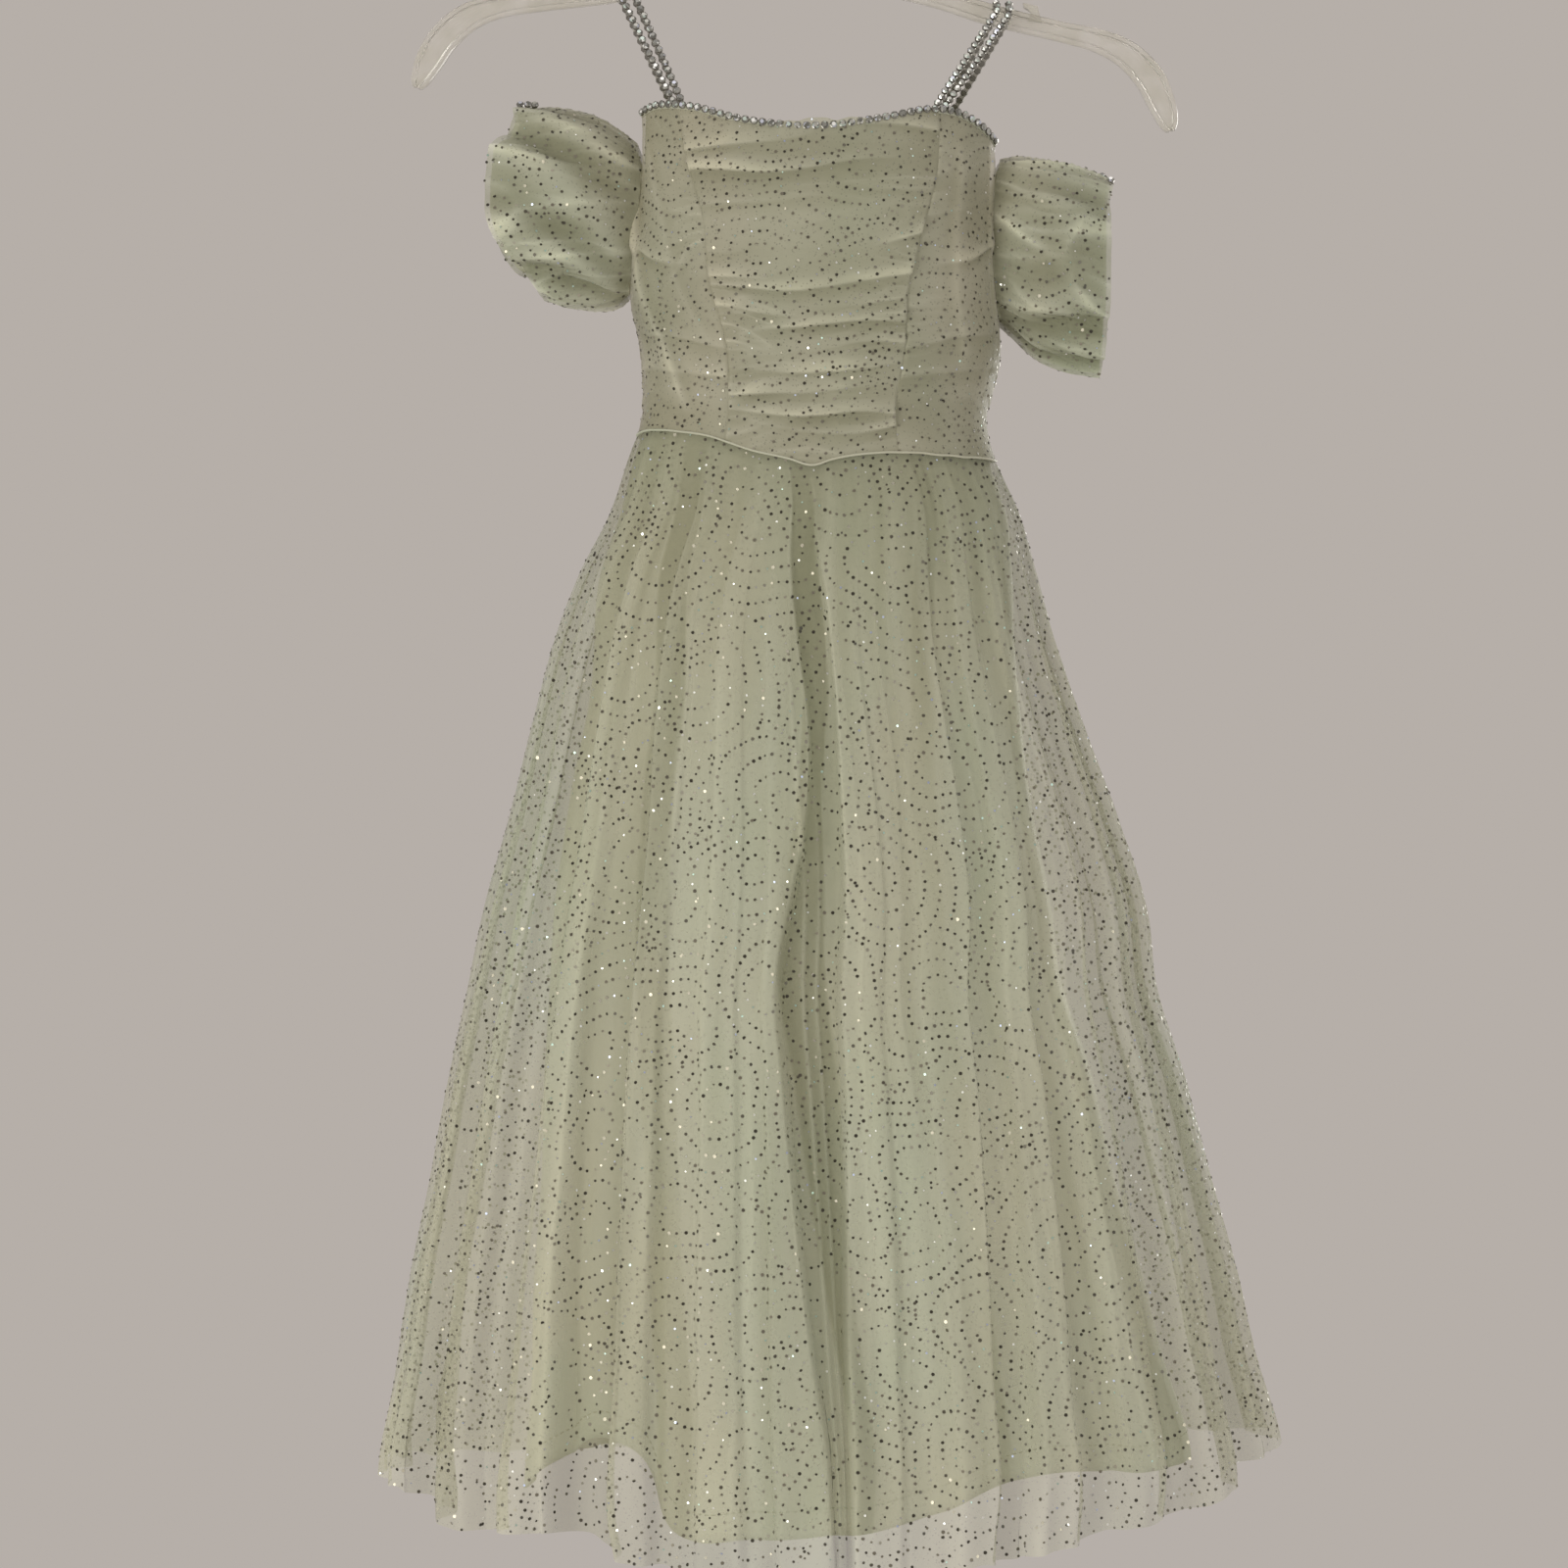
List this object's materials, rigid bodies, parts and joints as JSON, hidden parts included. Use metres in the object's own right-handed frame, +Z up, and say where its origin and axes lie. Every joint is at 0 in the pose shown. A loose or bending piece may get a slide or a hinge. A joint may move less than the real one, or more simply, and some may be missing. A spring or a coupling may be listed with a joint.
{
  "type": "flower girl dress on a hanger",
  "caption": "Child's off-shoulder party dress with puff sleeves, ruched bodice, pointed waist and sheer flared overskirt over a satin lining, on a clear hanger.",
  "frame": {"origin": "inner top of the hanger's hook, where it rests on a rail", "axes": "+Z up, +Y towards the back of the dress, +X towards the right of the front view"},
  "size_m": [0.4515, 0.1726, 0.8925],
  "materials": {
    "glitter_tulle": "sheer ivory net with silver glitter dots",
    "ruched_tulle": "ivory satin under ruched glitter net",
    "satin": "soft ivory satin",
    "stone_trim": "faceted stones in silver cups",
    "clear_plastic": "clear moulded plastic",
    "hook_wire": "polished",
    "zip_metal": "polished"
  },
  "bodies": {
    "dress": {"hanger_body": "clear_plastic", "hanger_hook": "hook_wire", "strap_left": "stone_trim", "strap_right": "stone_trim", "bodice_front_centre": "ruched_tulle", "bodice_side_left": "ruched_tulle", "bodice_side_right": "ruched_tulle", "bodice_back_left": "ruched_tulle", "bodice_back_right": "ruched_tulle", "sleeve_left": "glitter_tulle", "sleeve_right": "glitter_tulle", "neck_trim_front": "stone_trim", "neck_trim_back_left": "stone_trim", "neck_trim_back_right": "stone_trim", "waist_piping": "satin", "overskirt_front_left": "glitter_tulle", "overskirt_front_right": "glitter_tulle", "overskirt_back_left": "glitter_tulle", "overskirt_back_right": "glitter_tulle", "lining_front": "satin", "lining_back": "satin", "zip_slider": "zip_metal"},
    "zip_tab": {"zip_pull": "zip_metal"}
  },
  "joints": [
    {"name": "zip_tab_hinge", "type": "hinge", "parent": "dress", "child": "zip_tab", "pos_m": [0.007, 0.0488, -0.19], "axis": [1, 0, 0], "range_deg": [0, 165]}
  ]
}
